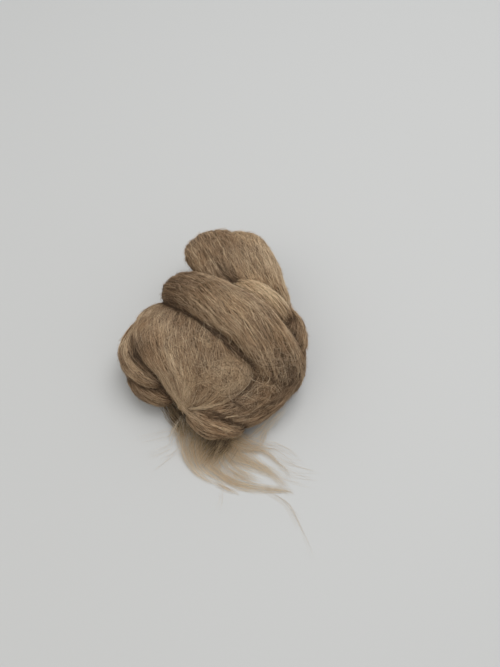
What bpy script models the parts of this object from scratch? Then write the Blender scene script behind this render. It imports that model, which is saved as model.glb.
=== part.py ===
"""A small nest of combed wool roving, lying on a table.

One length of roving is folded back on itself into a lump with a small flat spot under it. Its drafted end comes
out from under the front of the lump and fans out over the table in thin locks. Sizes are in millimetres and
are scaled to metres where a mesh is made. +Y points to the back of the nest, +Z is up, the table is at Z = 0,
and the origin is on the table, under the middle of the whole piece.
"""

import math
import random
from collections import namedtuple

import bmesh
import bpy
from mathutils import Vector

MM = 0.001  # metres in a millimetre
MIDDLE = Vector((-0.62, -9.61, 0.0))  # the middle of the whole piece, in the tables' own millimetres

# A fold is a soft bundle with low ridges along it, which turn about it by a part of a turn from end to end.
Fold = namedtuple("Fold", "ridges twist stations")

# One row for each place along a fold: its centre, its size across and through, and the heading of its width
# seen from above (0 along +X, 90 along +Y).
Station = namedtuple("Station", "x y z wide deep heading")

FOLDS = {
    "core": Fold(6, 0.00, [
        Station(5, 53, 10, 26, 20, 0),
        Station(5, 32, 15, 46, 32, 0),
        Station(3, 14, 15, 58, 36, 0),
        Station(0, -4, 14, 62, 34, 0),
        Station(2, -18, 12, 56, 28, 0),
        Station(5, -30, 8, 34, 18, 0),
    ]),
    "under_right": Fold(5, 0.10, [
        Station(18, 50, 7, 24, 16, 10),
        Station(25, 34, 8, 24, 20, 15),
        Station(31, 16, 8, 22, 20, 10),
        Station(33, 0, 8, 20, 20, -5),
        Station(28, -16, 7, 20, 16, -20),
    ]),
    "under_left": Fold(5, 0.10, [
        Station(-5, 49, 7, 20, 16, -30),
        Station(-15, 26, 8, 22, 20, -20),
        Station(-25, 10, 8, 22, 19, -15),
        Station(-31, -6, 7, 20, 17, 10),
        Station(-27, -17, 7, 18, 15, 35),
    ]),
    "middle": Fold(8, 0.40, [
        Station(-16, 31, 2, 14, 14, 58),
        Station(-17.5, 26.5, 19, 17.5, 17, 58),
        Station(-15.5, 22.5, 28, 19, 18, 58),
        Station(-8, 18, 33, 20, 18, 58),
        Station(0, 12, 35, 22, 19, 57),
        Station(8, 6, 35, 23.5, 20, 55),
        Station(17, 0.3, 34, 24.5, 21, 54),
        Station(24, -7, 30.5, 24, 22, 54),
        Station(29.7, -12.8, 24, 25, 22, 54),
        Station(33.4, -15.8, 14, 26, 19, 54),
        Station(34, -17, 2, 21, 14, 54),
    ]),
    "lower_right": Fold(7, 0.12, [
        Station(36, 3, 16, 14, 16, 5),
        Station(33.5, -6.5, 15.5, 22, 22, -5),
        Station(28, -15.5, 15.5, 27, 25, -28),
        Station(20.5, -23.5, 14, 28, 24, -46),
        Station(12, -30, 12.5, 24, 21, -64),
        Station(2, -34.5, 11, 15, 15, -80),
        Station(-7, -35, 9.5, 7, 9, -88),
    ]),
    "top_left": Fold(7, 0.12, [
        Station(-1, 60, 2, 20, 14, 22),
        Station(-2, 57.5, 17, 26, 18, 22),
        Station(-2.5, 53, 25.5, 29, 19, 26),
        Station(2, 44, 29, 28, 19, 34),
        Station(9, 32, 29, 26, 18, 42),
        Station(17, 23, 27, 20, 15, 50),
        Station(27, 16, 23, 12, 10, 52),
    ]),
    "top_right": Fold(8, 0.10, [
        Station(4, 61, 1, 22, 14, 12),
        Station(4.5, 58, 16, 30, 17, 12),
        Station(8, 52.5, 24.5, 34, 20, 15),
        Station(12.5, 42, 27.5, 34, 22, 22),
        Station(20.3, 30, 27, 29.5, 21, 30),
        Station(27, 20, 25, 21, 18, 36),
        Station(34, 14, 20, 14, 14, 40),
    ]),
    "tuck": Fold(4, 0.15, [
        Station(9, 24, 31, 6, 7, 58),
        Station(17, 19.5, 34, 9.5, 9, 58),
        Station(25, 14, 34.5, 10.5, 10, 56),
        Station(31.5, 9, 32, 9, 9, 52),
        Station(37.5, 4, 26.5, 5, 6, 46),
    ]),
    "right_lobe": Fold(6, 0.20, [
        Station(31, 12, 22, 10, 11, 53),
        Station(33.8, 7.5, 24.5, 14, 14, 42),
        Station(35.8, 2, 23.5, 17.5, 16, 20),
        Station(36, -4, 20.5, 18, 18, 2),
        Station(34.5, -10, 15, 15, 16, -15),
    ]),
    "front": Fold(9, 0.06, [
        Station(-8, 20, 13, 42, 14, -12),
        Station(-7.5, 9, 19, 60, 21, -8),
        Station(-6, -3, 23, 64, 25, -4),
        Station(-2.3, -13, 22.5, 60, 25, -1),
        Station(0, -20, 19.5, 50, 22, -2),
        Station(-1, -26, 15.5, 39, 18, -4),
        Station(-5.5, -31, 12, 22, 12, -8),
        Station(-12, -34.5, 10, 4, 5, -10),
    ]),
    "crescent": Fold(5, 0.20, [
        Station(-22, 20, 12, 10, 12, -45),
        Station(-30, 13.5, 14, 11, 13, -45),
        Station(-37, 6, 15, 11, 13, -40),
        Station(-40.3, -1.5, 15.5, 11, 13, -12),
        Station(-39.3, -8.5, 15.5, 11.5, 13.5, 12),
        Station(-35.2, -14.5, 15, 11, 13, 38),
        Station(-29, -18.8, 14.5, 9.5, 12, 62),
        Station(-21.5, -20.5, 13, 8, 10, 78),
    ]),
    "bottom_left": Fold(6, 0.15, [
        Station(-34, -8, 9, 14, 13, -8),
        Station(-34.5, -13, 9, 16, 15, 10),
        Station(-31, -18.8, 9, 16, 14.5, 38),
        Station(-25.3, -22.3, 9, 14, 13, 58),
        Station(-17.5, -26, 8.5, 10.5, 11, 62),
    ]),
    "bottom_front": Fold(7, 0.20, [
        Station(-11.5, -34, 9, 4, 5, 50),
        Station(-6, -37.5, 10, 9, 11, 60),
        Station(-0.5, -40, 10, 11, 13, 68),
        Station(5, -41.6, 10, 9, 13, 76),
        Station(10.5, -42, 9, 7, 11, 84),
        Station(15.5, -40.5, 7, 5, 8, 95),
    ]),
}

RING_POINTS = 30  # round a fold
RING_GAP = 3.0  # along a fold
SECTION_POWER = 2.3  # 2 is an ellipse, and more is squarer
CAP_SHARE = 0.6  # of a fold's depth: how far from its end it starts to close
RIDGE_HEIGHT = 0.35  # of the even ridges
LUMP_HEIGHT = 0.15  # of the slower swelling that makes the ridges uneven

# The drafted end: a thin web that starts under the nest, and the wisps that run out of it. A wisp is a band of
# locks, of which the outer ones are shorter by a share. It has one row for each place along it: its middle, and
# how wide the band is there.
WEB = Fold(5, 0.0, [
    Station(-2, -28, 0, 26, 13, 0),
    Station(-1, -36, 0, 31, 12, 0),
    Station(0, -43, 0, 32, 9, 0),
    Station(1, -50, 0, 26, 6.4, 6),
    Station(4, -56, 0, 17, 4.4, 20),
    Station(9, -61, 0, 8, 3, 36),
])
Wisp = namedtuple("Wisp", "locks shorter stations")
Place = namedtuple("Place", "x y wide")
WISPS = {
    "left": Wisp(6, 0.7, [
        Place(-8, -40, 9),
        Place(-12.5, -47, 8),
        Place(-11.5, -55, 7),
        Place(-7, -62, 6),
    ]),
    "long": Wisp(2, 0.25, [
        Place(-3, -52, 3),
        Place(2, -61, 2.8),
        Place(12, -67.5, 2.6),
        Place(22, -70, 2.4),
        Place(31, -72.5, 2.4),
        Place(38, -79, 2.2),
        Place(44, -91, 1.6),
    ]),
    "main": Wisp(9, 1.0, [
        Place(2, -46, 13),
        Place(3, -53, 12),
        Place(8, -59, 9),
        Place(16, -63.5, 6),
        Place(25, -65.5, 4.5),
        Place(36, -68.5, 2),
    ]),
    "upper": Wisp(8, 1.0, [
        Place(9, -45, 9),
        Place(15, -51, 9),
        Place(22, -55, 7),
        Place(30, -60, 5),
        Place(37, -66, 1.6),
    ]),
    "right": Wisp(5, 0.9, [
        Place(11, -40, 7),
        Place(19, -43.5, 7),
        Place(26, -48, 6),
        Place(32, -55, 5),
    ]),
    "curl": Wisp(3, 0.6, [
        Place(11, -35.5, 4),
        Place(19, -38.5, 3.6),
        Place(25, -37.5, 3),
        Place(28, -33, 2.4),
    ]),
}
LOCK_SEED = 5
LANE_DRIFT = 0.14  # of a lane, either way
LENGTH_DRIFT = 0.15  # of the wisp, off every other lock
LOCK_RINGS = 9
LOCK_SHARE = 0.6  # of the room that each lock has in its wisp
LOCK_HEIGHT = 1.3
LOCK_TAPER = 0.7  # how much of its width and height is gone just before the tip
LOCK_FLOOR_GAP = 0.5  # under a lock's root, inside the web
LOCK_LANDING = 0.4  # the share of its length by which it lies on the table
LOOK_AHEAD = 0.05  # rows ahead in the table, for the way that a lock runs

REST_GAP = 0.3  # between the nest and the drafted end
FLOOR_BOX = Vector((260, 260, 30))  # what is cut away below the table

COMBED_TAUPE = (0.216, 0.147, 0.089)
DRAFTED_TAUPE = (0.33, 0.235, 0.145)
WOOL_ROUGHNESS = 0.9


def hermite(before, start, end, after, share):
    """The value a share of the way from start to end, on a smooth curve through all four."""
    out, into = (end - before) / 2, (after - start) / 2
    squared, cubed = share * share, share * share * share
    return (
        (2 * cubed - 3 * squared + 1) * start
        + (cubed - 2 * squared + share) * out
        + (3 * squared - 2 * cubed) * end
        + (cubed - squared) * into
    )


def row_at(rows, place):
    """The row a real number of rows down a table, with every column on a smooth curve."""
    row = min(int(place), len(rows) - 2)
    near = [rows[max(0, min(len(rows) - 1, row + step))] for step in (-1, 0, 1, 2)]
    return type(rows[0])(*(hermite(*column, place - row) for column in zip(*near)))


def even_places(stations, gap):
    """Places along a fold's table that lie about the same distance apart, and the fold's length."""
    fine = [i / 20 for i in range(20 * (len(stations) - 1) + 1)]
    centres = [Vector(row_at(stations, place)[:3]) for place in fine]
    run = [0.0]
    for last, here in zip(centres, centres[1:]):
        run.append(run[-1] + (here - last).length)
    count = max(6, round(run[-1] / gap))
    places = [0.0]
    for step in range(1, count + 1):
        wanted = run[-1] * step / count
        past = next(i for i in range(1, len(run)) if run[i] >= wanted - 1e-9)
        share = (wanted - run[past - 1]) / (run[past] - run[past - 1])
        places.append(fine[past - 1] + (fine[past] - fine[past - 1]) * share)
    return places, run[-1]


def fullness(from_end, cap):
    """How full a fold is at a distance from its end, which closes in half an ellipse."""
    if from_end >= cap:
        return 1.0
    return math.sqrt(max(0.0, 1 - (1 - from_end / cap) ** 2))


def superellipse(angle):
    def eased(value):
        return math.copysign(abs(value) ** (2 / SECTION_POWER), value)

    return eased(math.cos(angle)), eased(math.sin(angle))


def ridge(fold, angle, share):
    """How far the ridges stand proud, or their furrows lie sunk, at an angle round the fold."""
    turned = angle - 2 * math.pi * fold.twist * share
    return RIDGE_HEIGHT * math.cos(fold.ridges * turned) + LUMP_HEIGHT * math.cos((fold.ridges - 3) * turned)


def fold_rings(fold, swell):
    """The points of a fold: one at its start, a ring at each step along it, and one at its end."""
    places, length = even_places(fold.stations, RING_GAP)
    centres = [Vector(row_at(fold.stations, place)[:3]) - MIDDLE for place in places]
    rings = [[centres[0] + (centres[0] - centres[1]).normalized() * swell]]
    for i in range(1, len(places) - 1):
        here = row_at(fold.stations, places[i])
        along = (centres[i + 1] - centres[i - 1]).normalized()
        heading = math.radians(here.heading)
        across = Vector((math.cos(heading), math.sin(heading), 0))
        through = along.cross(across).normalized()
        share = i / (len(places) - 1)
        cap = fold.stations[0 if share < 0.5 else -1].deep * CAP_SHARE
        full = fullness(min(share, 1 - share) * length, cap)
        ring = []
        for k in range(RING_POINTS):
            angle = 2 * math.pi * k / RING_POINTS
            side, top = superellipse(angle)
            out = across * side * here.wide / 2 + through * top * here.deep / 2
            reach = (out.length + ridge(fold, angle, share)) * full + swell
            ring.append(centres[i] + out.normalized() * reach)
        rings.append(ring)
    rings.append([centres[-1] + (centres[-1] - centres[-2]).normalized() * swell])
    return rings


def skin(rings):
    """A closed mesh over rings of points, where a ring of one point is a tip."""
    mesh = bmesh.new()
    made = [[mesh.verts.new(point * MM) for point in ring] for ring in rings]
    for last, ring in zip(made, made[1:]):
        count = max(len(last), len(ring))
        for k in range(count):
            n = (k + 1) % count
            corners = [last[k % len(last)], last[n % len(last)], ring[n % len(ring)], ring[k % len(ring)]]
            mesh.faces.new(list(dict.fromkeys(corners)))
    for end in (made[0], made[-1]):
        if len(end) > 1:
            mesh.faces.new(end)
    bmesh.ops.recalc_face_normals(mesh, faces=mesh.faces)
    return mesh


def fold_mesh(fold, swell=0.0):
    return skin(fold_rings(fold, swell))


def lock_mesh(wisp, lane, reach):
    """One lock: a thin three-sided solid in its own lane of a wisp, which ends a share of the way down it."""
    rows = wisp.stations
    rings = []
    for i in range(LOCK_RINGS + 1):
        share = i / LOCK_RINGS
        place = share * reach * (len(rows) - 1)
        here, ahead = row_at(rows, place), row_at(rows, place + LOOK_AHEAD)
        along = Vector((ahead.x - here.x, ahead.y - here.y, 0)).normalized()
        across = Vector((-along.y, along.x, 0))
        centre = Vector((here.x, here.y, 0)) + across * here.wide * lane - MIDDLE
        if i == LOCK_RINGS:
            rings.append([centre])
            break
        side = across * here.wide / wisp.locks * LOCK_SHARE / 2 * (1 - LOCK_TAPER * share)
        low = Vector((0, 0, LOCK_FLOOR_GAP * max(0.0, 1 - share / LOCK_LANDING)))
        high = low + Vector((0, 0, LOCK_HEIGHT * (1 - LOCK_TAPER * share)))
        rings.append([centre - side + low, centre + side + low, centre + high])
    return skin(rings)


def add_object(name, mesh):
    data = bpy.data.meshes.new(name)
    mesh.to_mesh(data)
    mesh.free()
    made = bpy.data.objects.new(name, data)
    bpy.context.scene.collection.objects.link(made)
    return made


def add_helper(name, mesh, group):
    """A shape that only joins or cuts another one."""
    helper = add_object(name, mesh)
    helper.hide_render = True
    helper.display_type = "WIRE"
    group.objects.link(helper)
    bpy.context.scene.collection.objects.unlink(helper)


def add_group(name):
    group = bpy.data.collections.new(name)
    bpy.context.scene.collection.children.link(group)
    return group


def boolean(target, operation, group):
    step = target.modifiers.new(operation.lower(), "BOOLEAN")
    step.operation = operation
    step.solver = "EXACT"
    step.operand_type = "COLLECTION"
    step.collection = group


def wool(name, colour):
    material = bpy.data.materials.new(name)
    material.use_nodes = True
    shader = material.node_tree.nodes["Principled BSDF"]
    shader.inputs["Base Color"].default_value = (*colour, 1.0)
    shader.inputs["Roughness"].default_value = WOOL_ROUGHNESS
    shader.inputs["Metallic"].default_value = 0.0
    return material


def floor_cutter():
    """A box whose top face is the table's."""
    mesh = bmesh.new()
    bmesh.ops.create_cube(mesh, size=MM)
    bmesh.ops.scale(mesh, vec=FLOOR_BOX, verts=mesh.verts)
    bmesh.ops.translate(mesh, vec=Vector((0, 0, -FLOOR_BOX.z / 2)) * MM, verts=mesh.verts)
    return mesh


def build_nest(below):
    """The folds, joined into one solid, with room under its front for the drafted end."""
    nest = add_object("nest", fold_mesh(FOLDS["core"]))
    folds = add_group("folds")
    for name in FOLDS:
        if name != "core":
            add_helper(f"fold_{name}", fold_mesh(FOLDS[name]), folds)
    room = add_group("room")
    add_helper("web_room", fold_mesh(WEB, REST_GAP), room)
    boolean(nest, "UNION", folds)
    boolean(nest, "DIFFERENCE", below)
    boolean(nest, "DIFFERENCE", room)
    nest.data.materials.append(wool("combed wool", COMBED_TAUPE))
    nest.data.shade_smooth()


def build_loose_end(below):
    """The web of the drafted end with its locks, which rest on the table."""
    locks = add_group("locks")
    chance = random.Random(LOCK_SEED)
    for name, wisp in WISPS.items():
        for i in range(wisp.locks):
            lane = (i + 0.5 + chance.uniform(-LANE_DRIFT, LANE_DRIFT)) / wisp.locks - 0.5
            reach = 1 - wisp.shorter * abs(lane) - chance.uniform(0, LENGTH_DRIFT) * (i % 2)
            add_helper(f"lock_{name}_{i + 1}", lock_mesh(wisp, lane, reach), locks)
    loose_end = add_object("loose_end", fold_mesh(WEB))
    boolean(loose_end, "DIFFERENCE", below)
    boolean(loose_end, "UNION", locks)
    loose_end.data.materials.append(wool("drafted wool", DRAFTED_TAUPE))
    loose_end.data.shade_smooth()


def main():
    for old in list(bpy.data.objects):
        bpy.data.objects.remove(old)
    below = add_group("below")
    add_helper("table_cut", floor_cutter(), below)
    build_nest(below)
    build_loose_end(below)


main()
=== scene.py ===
# A nest of taupe wool roving. One length of combed top is folded back on itself into a lump, and its
# drafted end comes out from under the front and fans over the table in thin wisps.
# Tables are in millimetres and meshes in metres. +Y is the back of the nest, and the table is at Z = 0.
import math

import bpy
import numpy as np
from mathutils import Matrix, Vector
from mathutils.bvhtree import BVHTree


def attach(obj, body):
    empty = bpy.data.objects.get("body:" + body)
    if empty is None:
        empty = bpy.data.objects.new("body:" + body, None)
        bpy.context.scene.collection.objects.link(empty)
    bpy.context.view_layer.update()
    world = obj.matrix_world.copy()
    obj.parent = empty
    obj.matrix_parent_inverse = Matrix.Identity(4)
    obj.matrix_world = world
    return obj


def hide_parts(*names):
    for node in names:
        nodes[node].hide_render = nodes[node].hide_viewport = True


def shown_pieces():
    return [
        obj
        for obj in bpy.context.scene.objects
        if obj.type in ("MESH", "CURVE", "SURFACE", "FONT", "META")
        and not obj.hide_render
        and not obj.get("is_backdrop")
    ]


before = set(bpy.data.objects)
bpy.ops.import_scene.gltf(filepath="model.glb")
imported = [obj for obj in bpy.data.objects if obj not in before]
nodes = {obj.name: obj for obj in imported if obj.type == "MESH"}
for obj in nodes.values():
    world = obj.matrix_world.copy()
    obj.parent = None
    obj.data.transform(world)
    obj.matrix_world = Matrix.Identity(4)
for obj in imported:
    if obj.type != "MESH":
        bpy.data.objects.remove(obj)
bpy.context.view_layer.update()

mm = 0.001
middle = np.array((-0.62, -9.61, 0.0))  # the tables' own zero, seen from the middle of the piece
tableTop = 0.06  # mm: the lowest that any wool lies
anyPhase = (0, 6.28)  # where a random wave may start


def linear(hexColour):
    channels = [int(hexColour[i:i + 2], 16) / 255 for i in (1, 3, 5)]
    return (*(c / 12.92 if c <= 0.04045 else ((c + 0.055) / 1.055) ** 2.4 for c in channels), 1.0)


def addNode(tree, kind, links=(), **settings):
    # settings are the node's own; links are (input socket, where it comes from or its value)
    node = tree.nodes.new(kind)
    for name, value in settings.items():
        setattr(node, name, value)
    for socket, source in links:
        if isinstance(source, bpy.types.NodeSocket):
            tree.links.new(source, node.inputs[socket])
        else:
            node.inputs[socket].default_value = source
    return node


def unit(vectors):
    return vectors / np.maximum(np.linalg.norm(vectors, axis=-1, keepdims=True), 1e-9)


def rowAt(rows, places):
    # every column of a table on a smooth curve, at real numbers of rows down it
    row = np.minimum(places.astype(int), len(rows) - 2)
    before, start, end, after = (rows[np.clip(row + step, 0, len(rows) - 1)] for step in (-1, 0, 1, 2))
    t = (places - row)[:, None]
    out, into = (end - before) / 2, (after - start) / 2
    return ((2 * t**3 - 3 * t**2 + 1) * start + (t**3 - 2 * t**2 + t) * out
            + (3 * t**2 - 2 * t**3) * end + (t**3 - t**2) * into)


def evenPlaces(rows, count, perRow=20):
    # places down a table that lie evenly along its line, and how long that line is
    fine = np.linspace(0, len(rows) - 1, perRow * (len(rows) - 1) + 1)
    steps = np.linalg.norm(np.diff(rowAt(rows, fine)[:, :3], axis=0), axis=1)
    run = np.concatenate([[0], np.cumsum(steps)])
    return np.interp(np.linspace(0, run[-1], count), run, fine), run[-1]


noiseSide = 256
noiseTable = np.random.default_rng(7).uniform(-1, 1, (noiseSide, noiseSide))


def streakNoise(across, along):
    # smooth noise from -1 to 1 with one swing in each unit of both numbers
    across, along = np.broadcast_arrays(across, along)
    column, row = np.floor(across).astype(int), np.floor(along).astype(int)
    x, y = (part * part * (3 - 2 * part) for part in (across - column, along - row))
    left, right, low, high = (at % noiseSide for at in (column, column + 1, row, row + 1))
    lower, upper = (noiseTable[at, left] * (1 - x) + noiseTable[at, right] * x for at in (low, high))
    return lower * (1 - y) + upper * y


def readMesh(data, field):
    values = np.empty(len(data) * 3)
    data.foreach_get(field, values)
    return values.reshape(-1, 3)


# The bundles, row by row: centre x, y, z, width, depth and heading of the width. A higher level lies on a
# lower one, twist is in turns, and tones are spread evenly along the bundle; they are partly the wool's own
# and partly painted shade on sides that face away from the light.
bundles = dict(
    core=dict(level=0, twist=0, tones=(0,), rows=[
        (5, 53, 10, 26, 20, 0), (5, 32, 15, 46, 32, 0), (3, 14, 15, 58, 36, 0), (0, -4, 14, 62, 34, 0),
        (2, -18, 12, 56, 28, 0), (5, -30, 8, 34, 18, 0)]),
    under_right=dict(level=0, twist=0.1, tones=(0,), rows=[
        (18, 50, 7, 24, 16, 10), (25, 34, 8, 24, 20, 15), (31, 16, 8, 22, 20, 10), (33, 0, 8, 20, 20, -5),
        (28, -16, 7, 20, 16, -20)]),
    under_left=dict(level=0, twist=0.1, tones=(0,), rows=[
        (-5, 49, 7, 20, 16, -30), (-15, 26, 8, 22, 20, -20), (-25, 10, 8, 22, 19, -15),
        (-31, -6, 7, 20, 17, 10), (-27, -17, 7, 18, 15, 35)]),
    middle=dict(level=4, twist=0.4, tones=(-0.5, -0.38, -0.24, -0.05, 0.04, 0.03, -0.04, -0.12, -0.14), rows=[
        (-16, 31, 2, 14, 14, 58), (-17.5, 26.5, 19, 17.5, 17, 58), (-15.5, 22.5, 28, 19, 18, 58),
        (-8, 18, 33, 20, 18, 58), (0, 12, 35, 22, 19, 57), (8, 6, 35, 23.5, 20, 55),
        (17, 0.3, 34, 24.5, 21, 54), (24, -7, 30.5, 24, 22, 54), (29.7, -12.8, 24, 25, 22, 54),
        (33.4, -15.8, 14, 26, 19, 54), (34, -17, 2, 21, 14, 54)]),
    lower_right=dict(level=2, twist=0.12, tones=(-0.12, -0.18, -0.08), rows=[
        (36, 3, 16, 14, 16, 5), (33.5, -6.5, 15.5, 22, 22, -5), (28, -15.5, 15.5, 27, 25, -28),
        (20.5, -23.5, 14, 28, 24, -46), (12, -30, 12.5, 24, 21, -64), (2, -34.5, 11, 15, 15, -80),
        (-7, -35, 9.5, 7, 9, -88)]),
    top_left=dict(level=2, twist=0.12, tones=(-0.08, -0.08, -0.03), rows=[
        (-1, 60, 2, 20, 14, 22), (-2, 57.5, 17, 26, 18, 22), (-2.5, 53, 25.5, 29, 19, 26),
        (2, 44, 29, 28, 19, 34), (9, 32, 29, 26, 18, 42), (17, 23, 27, 20, 15, 50),
        (27, 16, 23, 12, 10, 52)]),
    top_right=dict(level=2, twist=0.1, tones=(0, 0.11, 0.12), rows=[
        (4, 61, 1, 22, 14, 12), (4.5, 58, 16, 30, 17, 12), (8, 52.5, 24.5, 34, 20, 15),
        (12.5, 42, 27.5, 34, 22, 22), (20.3, 30, 27, 29.5, 21, 30), (27, 20, 25, 21, 18, 36),
        (34, 14, 20, 14, 14, 40)]),
    tuck=dict(level=3, twist=0.15, tones=(0.14, 0.42, 0.44, 0.3, -0.08), rows=[
        (9, 24, 31, 6, 7, 58), (17, 19.5, 34, 9.5, 9, 58), (25, 14, 34.5, 10.5, 10, 56),
        (31.5, 9, 32, 9, 9, 52), (37.5, 4, 26.5, 5, 6, 46)]),
    right_lobe=dict(level=2, twist=0.2, tones=(0, -0.06), rows=[
        (31, 12, 22, 10, 11, 53), (33.8, 7.5, 24.5, 14, 14, 42), (35.8, 2, 23.5, 17.5, 16, 20),
        (36, -4, 20.5, 18, 18, 2), (34.5, -10, 15, 15, 16, -15)]),
    front=dict(level=3, twist=0.06, tones=(-0.06, -0.03, 0, -0.03), rows=[
        (-8, 20, 13, 42, 14, -12), (-7.5, 9, 19, 60, 21, -8), (-6, -3, 23, 64, 25, -4),
        (-2.3, -13, 22.5, 60, 25, -1), (0, -20, 19.5, 50, 22, -2), (-1, -26, 15.5, 39, 18, -4),
        (-5.5, -31, 12, 22, 12, -8), (-12, -34.5, 10, 4, 5, -10)]),
    crescent=dict(level=2, twist=0.2, tones=(-0.08, -0.1, -0.08), rows=[
        (-22, 20, 12, 10, 12, -45), (-30, 13.5, 14, 11, 13, -45), (-37, 6, 15, 11, 13, -40),
        (-40.3, -1.5, 15.5, 11, 13, -12), (-39.3, -8.5, 15.5, 11.5, 13.5, 12), (-35.2, -14.5, 15, 11, 13, 38),
        (-29, -18.8, 14.5, 9.5, 12, 62), (-21.5, -20.5, 13, 8, 10, 78)]),
    bottom_left=dict(level=1, twist=0.15, tones=(-0.2,), rows=[
        (-34, -8, 9, 14, 13, -8), (-34.5, -13, 9, 16, 15, 10), (-31, -18.8, 9, 16, 14.5, 38),
        (-25.3, -22.3, 9, 14, 13, 58), (-17.5, -26, 8.5, 10.5, 11, 62)]),
    bottom_front=dict(level=4, twist=0.2, tones=(-0.07,), rows=[
        (-11.5, -34, 9, 4, 5, 50), (-6, -37.5, 10, 9, 11, 60), (-0.5, -40, 10, 11, 13, 68),
        (5, -41.6, 10, 9, 13, 76), (10.5, -42, 9, 7, 11, 84), (15.5, -40.5, 7, 5, 8, 95)]),
)
# a bundle's shell: its section, how round its ends are, its faces, and its furrows as (count, height)
skin = dict(
    sectionPower=2.3, capShare=0.6, around=56, alongGap=2, fewestRings=24, frames=160, floorStep=0.01,
    furrow=0.16, furrows=((5, 1), (8, 1), (13, 0.9), (19, 0.7), (29, 0.5)), drift=(-7.2, 7.2),
    layAlong=0.06)  # how far the streaks of the lower fibres are drawn out along the comb's way
# The fibre layers, in mm: cover is how many strands deep one is, slant and wander are how far they stray from
# the comb's way, dip is how far their ends go under, and loose ones end in the air.
# depthShade is painted shade: strands that lie lower among the others are darker
layers = dict(
    combed=dict(
        cover=2.94, width=(0.19, 0.34), flat=0.6, length=(6, 15), points=5, slant=0.1, wander=0.35,
        lift=(0, 0.6), dip=0.3, tone=-0.035, vary=0.2, depthShade=0.2),
    crossing=dict(
        cover=0.34, width=(0.11, 0.17), flat=0.9, length=(5, 13), points=6, slant=0.28, wander=0.55,
        lift=(0.3, 0.9), dip=0.4, tone=0.12, vary=0.2, depthShade=0.05),
    flyaway=dict(
        cover=0.15, width=(0.08, 0.12), flat=1, length=(4, 11), points=5, slant=0.65, wander=0.65,
        lift=(0.4, 1.4), dip=0.3, loose=True, tone=0.18, vary=0.17, depthShade=0.05),
    halo=dict(
        cover=0.24, width=(0.06, 0.11), flat=1, length=(3, 7), points=4, slant=1.2, wander=0.9,
        lift=(0.6, 2.6), dip=0.3, loose=True, tone=0.2, vary=0.16, depthShade=0),
)
# combed locks: how wide and long they are in mm, how far they stand out, and how much their tone differs
locks = dict(wide=0.5, long=6, height=0.18, tone=0.11)
lowestCover = 0.65  # of the layers, on the bundles at level 0, which hardly show
buriedBy = 0.5  # mm: a strand this deep in another bundle doesn't show
# a strand is kept if its middle and lowest point are above these, in mm, and it is high or faces up
shown = dict(middle=0.6, lowest=-1.5, facing=-0.55, high=14)
# pairs that are matted together, with no clear crease between them: they get less painted crease shade
matted = {"lower_right", "middle"}, {"lower_right", "front"}, {"top_left", "top_right"}, {"top_right", "tuck"}
# painted shade: wool is darker within reach mm of a bundle that lies on it, and a little near one beside or
# below it
creases = dict(reach=4.5, soft=0.4, lineReach=1.8, line=0.45, beside=0.45, below=0.25, matted=0.3)
# darker and lighter patches of the wool, partly its own tone and partly painted shade in the cleft, the
# valley and other hollows: x, y, z, radius and how much the tone changes
patches = dict(
    cleft=(-33, -8, 24, 7, -0.47), bandLeft=(-13, 14, 38, 11, -0.2), lowerRight=(32, -28, 21, 11, -0.12),
    rightLobe=(40, 1, 28, 8, -0.14), valley=(7.5, 26, 36, 6, -0.24), crescentLow=(-36, -17, 17, 5, 0.06),
    frontLow=(0, -30, 25, 9, -0.05), bandMiddle=(6, 2, 44, 8, 0.04), lens=(4, -45, 14, 6, 0.06),
    frontHigh=(-20, 6, 33, 8, -0.05), lowerLeft=(-33, -18, 14, 7, -0.02), topLeft=(-11, 44, 24, 8, -0.24),
    topHigh=(3, 57, 30, 9, -0.04), topMiddle=(12, 44, 37, 9, -0.05), frontSide=(-26, -10, 28, 8, -0.12),
    bandFront=(-4, 3, 36, 5, -0.1), bandFrontRight=(9, -10, 35, 5, -0.12), right=(36, -22, 24, 8, -0.16),
    lowerMass=(19, -32, 22, 8, -0.1), bandLow=(25, -7, 38, 8, -0.09), besideTuck=(17, 11, 40, 5, -0.12),
    tuckEnd=(27, 4.5, 37, 5, -0.08))


def bundleFrames(name, bundle):
    # the bundle's centre line as even frames, and its combed furrows
    rows = np.array(bundle["rows"], float)
    places, length = evenPlaces(rows, skin["frames"])
    table = rowAt(rows, places)
    centre = table[:, :3] - middle
    along = unit(np.gradient(centre, axis=0))
    heading = np.radians(table[:, 5])
    across = np.stack([np.cos(heading), np.sin(heading), 0 * heading], 1)
    share = np.linspace(0, 1, skin["frames"])
    cap = np.where(share < 0.5, rows[0, 4], rows[-1, 4]) * skin["capShare"]
    fromEnd = np.minimum(share, 1 - share) * length
    full = np.sqrt(np.clip(1 - np.clip(1 - fromEnd / cap, 0, 1) ** 2, 0, 1))
    chance = np.random.default_rng(len(name) * 7 + len(rows))
    waves = [
        (count, skin["furrow"] * height, chance.uniform(*anyPhase), chance.uniform(*skin["drift"]))
        for count, height in skin["furrows"]]
    wide, deep = table[:, 3], table[:, 4]
    through = unit(np.cross(along, across))
    return dict(
        columns=np.column_stack([centre, across, through, along, wide / 2, deep / 2, full]),
        length=length, twist=bundle["twist"], waves=waves, girth=math.pi * float((wide + deep).mean()) / 2,
        girths=math.pi * (wide + deep) / 2 * full, aspect=float((wide / deep).mean()))


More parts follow.
